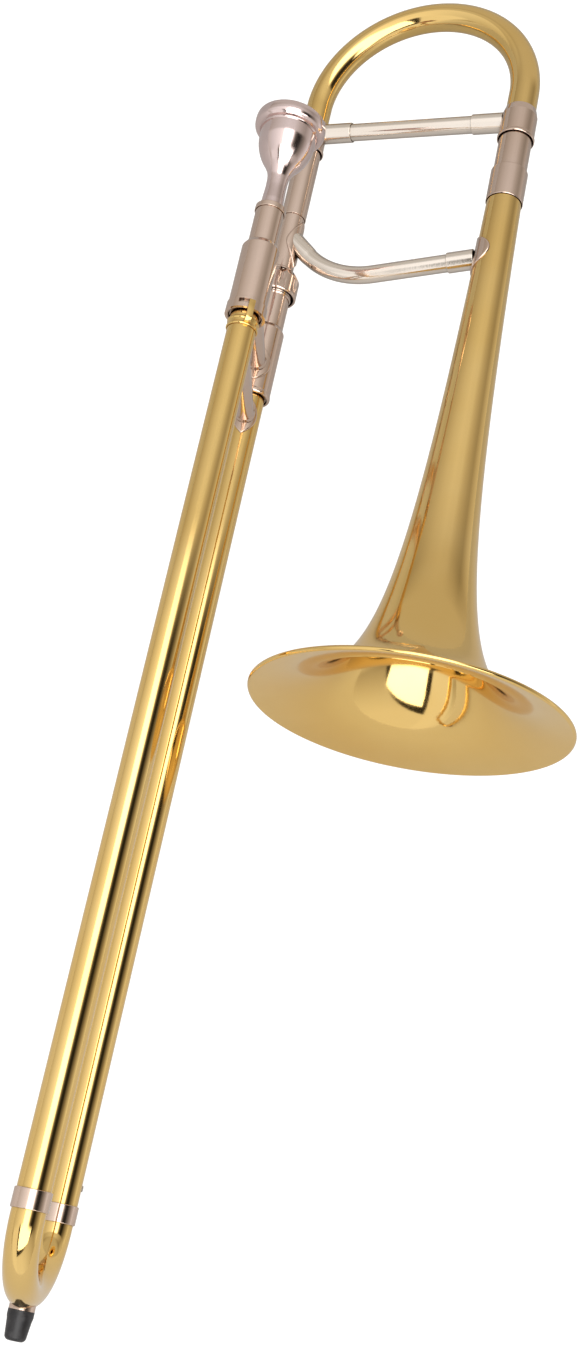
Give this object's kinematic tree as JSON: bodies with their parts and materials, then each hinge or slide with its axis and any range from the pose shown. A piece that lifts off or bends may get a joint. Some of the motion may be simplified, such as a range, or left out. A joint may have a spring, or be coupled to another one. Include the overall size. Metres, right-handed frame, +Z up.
{
  "type": "trombone",
  "caption": "Small alto-size slide trombone: lacquered brass bell, tuning crook and slide with nickel silver ferrules, braces and barrels.",
  "frame": {"origin": "centre of the bell's mouth, in the plane of its rim", "axes": "+Y along the bell axis from the mouth towards the tuning crook, +Z up as the trombone lies on a floor on its bell rim and lock nut, +X away from the hand slide"},
  "size_m": [0.2293, 0.7772, 0.165],
  "materials": {
    "lacquered_brass": "clear lacquer over polished brass",
    "nickel_silver": "polished nickel silver, slightly warm",
    "silver_plate": "polished silver plate",
    "black_rubber": "satin moulded rubber",
    "cork": "natural cork",
    "steel": "drawn wire"
  },
  "bodies": {
    "bell_section": {"bell_flare": "lacquered_brass", "bell_rim_wire": "steel", "bell_tail_ferrule": "nickel_silver", "tuning_outer_tube_bell": "nickel_silver", "tuning_outer_tube_neck": "nickel_silver", "gooseneck": "nickel_silver", "gooseneck_collar": "nickel_silver", "bell_brace_tube": "nickel_silver", "bell_brace_socket": "nickel_silver", "bell_brace_flange_bell": "nickel_silver", "bell_brace_flange_neck": "nickel_silver"},
    "bell_nut": {"bell_lock_nut": "nickel_silver"},
    "tuning_slide": {"tuning_crook": "lacquered_brass", "crook_ferrule_neck": "nickel_silver", "crook_ferrule_bell": "nickel_silver", "tuning_inner_leg_neck": "nickel_silver", "tuning_inner_leg_bell": "nickel_silver", "tuning_brace_tube": "nickel_silver", "tuning_brace_sockets": "nickel_silver"},
    "inner_slide": {"mouthpiece_receiver": "nickel_silver", "receiver_lip": "nickel_silver", "leadpipe": "lacquered_brass", "inner_slide_tube_upper": "nickel_silver", "inner_slide_tube_lower": "nickel_silver", "slide_stockings": "nickel_silver", "cork_barrel_upper": "nickel_silver", "cork_barrel_lower": "nickel_silver", "barrel_corks": "cork", "bell_receiver": "nickel_silver", "inner_brace_tube": "nickel_silver", "inner_brace_flanges": "nickel_silver"},
    "outer_slide": {"outer_slide_tube_upper": "lacquered_brass", "outer_slide_tube_lower": "lacquered_brass", "outer_top_sleeves": "nickel_silver", "lock_lug_ring": "lacquered_brass", "outer_brace_tube": "nickel_silver", "outer_brace_flanges": "nickel_silver", "bow_ferrules": "nickel_silver", "slide_bow": "lacquered_brass", "bumper_socket": "nickel_silver", "rubber_bumper": "black_rubber", "water_key_nipple": "nickel_silver", "water_key_saddle": "nickel_silver", "water_key_pivot_screw": "steel", "water_key_spring": "steel"},
    "water_key": {"water_key_lever": "nickel_silver", "water_key_cork": "cork"},
    "lock_ring": {"slide_lock_ring": "nickel_silver"},
    "mouthpiece_body": {"mouthpiece": "silver_plate"}
  },
  "joints": [
    {"name": "tuning_slide_pull", "type": "slide", "parent": "bell_section", "child": "tuning_slide", "axis": [0, 1, 0], "range_m": [0, 0.022]},
    {"name": "bell_nut_turn", "type": "hinge", "parent": "bell_section", "child": "bell_nut", "pos_m": [-0.10473, 0.261, -0.0705], "axis": [0, 1, 0], "continuous": true},
    {"name": "bell_angle", "type": "hinge", "parent": "bell_section", "child": "inner_slide", "pos_m": [-0.10473, 0.24, -0.0705], "axis": [0, 1, 0], "range_deg": [-12, 18]},
    {"name": "slide_travel", "type": "slide", "parent": "inner_slide", "child": "outer_slide", "axis": [0, -1, 0], "range_m": [0, 0.4]},
    {"name": "lock_turn", "type": "hinge", "parent": "inner_slide", "child": "lock_ring", "pos_m": [-0.1274, 0.189, 0.00882], "axis": [0, 1, 0], "range_deg": [0, 30]},
    {"name": "mouthpiece_pull", "type": "slide", "parent": "inner_slide", "child": "mouthpiece_body", "axis": [0, 1, 0], "range_m": [0, 0.03]},
    {"name": "water_key_press", "type": "hinge", "parent": "outer_slide", "child": "water_key", "pos_m": [-0.10221, -0.246, -0.07992], "axis": [0.9659, 0, 0.2588], "range_deg": [0, 6.5], "stiffness_Nm_per_rad": 0.02}
  ]
}
